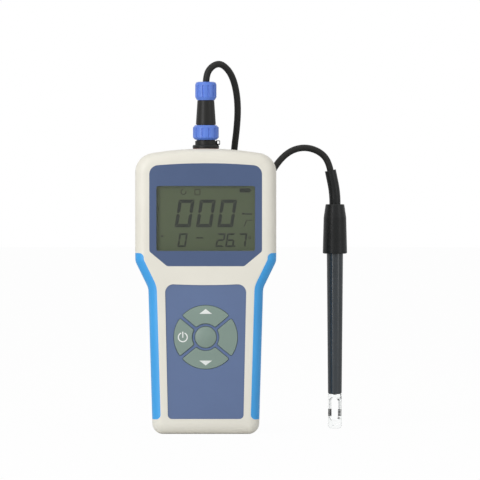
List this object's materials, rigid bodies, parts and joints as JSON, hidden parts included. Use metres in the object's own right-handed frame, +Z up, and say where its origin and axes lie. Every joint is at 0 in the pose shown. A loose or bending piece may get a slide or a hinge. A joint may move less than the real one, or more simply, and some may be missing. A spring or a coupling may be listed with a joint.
{
  "type": "conductivity meter",
  "caption": "Hand-held conductivity meter with a display, a round keypad and side grips, standing beside its plug-in probe on a cable.",
  "frame": {"origin": "middle of the flat base that the meter stands on", "axes": "+Z up along the case, front with display and keys towards -Y, +X to the right seen from the front"},
  "size_m": [0.1274, 0.0935, 0.2225],
  "materials": {
    "case_cream": "fine matt moulded plastic",
    "grip_blue": "smooth soft-touch rubber",
    "panel_navy": "printed panel, low gloss",
    "window_clear": "clear moulded window",
    "display_olive": "display glass with a grey-green field",
    "frame_white": "moulded plastic",
    "strip_pink": "layered conductive rubber",
    "keypad_blue": "satin panel",
    "key_grey": "satin silicone rubber",
    "mat_grey": "matt silicone rubber",
    "board_green": "solder mask over glass fibre",
    "chip_black": "moulded package",
    "contact_gold": "gold-plated",
    "screw_steel": "zinc-plated",
    "spring_steel": "nickel-plated sprung strip",
    "cell_jacket": "printed sleeve over metal",
    "connector_black": "moulded nylon",
    "nut_blue": "moulded nylon, satin",
    "gasket_orange": "silicone rubber",
    "insert_tan": "moulded insulator",
    "wire_jacket": "insulated cores",
    "cable_black": "smooth flexible jacket",
    "tie_black": "hook-and-loop strap",
    "probe_black": "moulded rubber, satin",
    "shaft_grey": "polished dark grey plastic",
    "cell_clear": "clear acrylic",
    "electrode_black": "platinum-black coated metal",
    "lead_metal": "bare metal lead",
    "resin_black": "cast resin",
    "sensor_bead": "sealed bead"
  },
  "bodies": {
    "meter": {"front_shell": "case_cream", "rear_shell": "case_cream", "left_grip": "grip_blue", "right_grip": "grip_blue", "display_panel": "panel_navy", "display_window": "window_clear", "keypad_panel": "keypad_blue", "keypad_mat": "mat_grey", "key_contacts": "contact_gold", "lcd_glass": "display_olive", "lcd_frame": "frame_white", "lcd_contact_strips": "strip_pink", "main_board": "board_green", "board_chips": "chip_black", "board_capacitors": "spring_steel", "lead_connector": "frame_white", "board_screws": "screw_steel", "case_screws": "screw_steel", "battery_cells": "cell_jacket", "battery_springs": "spring_steel", "battery_contacts": "spring_steel", "socket_gasket": "gasket_orange", "socket_body": "connector_black", "socket_insert": "insert_tan", "socket_pins": "contact_gold", "socket_nut": "connector_black", "socket_wires": "wire_jacket", "tether_ring": "connector_black", "cable_coil": "cable_black", "cable_tie": "tie_black", "cable_to_probe": "cable_black", "strain_relief": "probe_black", "probe_cap": "probe_black", "potting_resin": "resin_black", "probe_shaft": "shaft_grey", "cell_collar": "shaft_grey", "probe_tip": "cell_clear", "electrode_plates": "electrode_black", "electrode_leads": "lead_metal", "temperature_sensor": "sensor_bead"},
    "key_up_body": {"key_up": "key_grey"},
    "key_down_body": {"key_down": "key_grey"},
    "key_power_body": {"key_power": "key_grey"},
    "key_right_body": {"key_right": "key_grey"},
    "key_centre_body": {"key_centre": "key_grey"},
    "door": {"battery_door": "case_cream"},
    "plug": {"plug_body": "connector_black", "snap_ring": "spring_steel", "plug_insert": "insert_tan", "plug_contacts": "contact_gold", "plug_wires": "wire_jacket", "gland_bush": "mat_grey", "gland_nut": "nut_blue", "cable_from_plug": "cable_black"},
    "nut": {"coupling_nut": "nut_blue"}
  },
  "joints": [
    {"name": "key_up_press", "type": "slide", "parent": "meter", "child": "key_up_body", "axis": [0, 1, 0], "range_m": [0, 0.0008], "stiffness_N_per_m": 2500},
    {"name": "key_down_press", "type": "slide", "parent": "meter", "child": "key_down_body", "axis": [0, 1, 0], "range_m": [0, 0.0008], "stiffness_N_per_m": 2500},
    {"name": "key_power_press", "type": "slide", "parent": "meter", "child": "key_power_body", "axis": [0, 1, 0], "range_m": [0, 0.0008], "stiffness_N_per_m": 2500},
    {"name": "key_right_press", "type": "slide", "parent": "meter", "child": "key_right_body", "axis": [0, 1, 0], "range_m": [0, 0.0008], "stiffness_N_per_m": 2500},
    {"name": "key_centre_press", "type": "slide", "parent": "meter", "child": "key_centre_body", "axis": [0, 1, 0], "range_m": [0, 0.0008], "stiffness_N_per_m": 2500},
    {"name": "battery_door_swing", "type": "hinge", "parent": "meter", "child": "door", "pos_m": [0, 0.015, 0.0144], "axis": [-1, 0, 0], "range_deg": [0, 90]},
    {"name": "plug_pull", "type": "slide", "parent": "meter", "child": "plug", "axis": [0, 0, 1], "range_m": [0, 0.01]},
    {"name": "coupling_nut_turn", "type": "hinge", "parent": "plug", "child": "nut", "pos_m": [0, 0, 0.18], "axis": [0, 0, 1], "continuous": true}
  ]
}
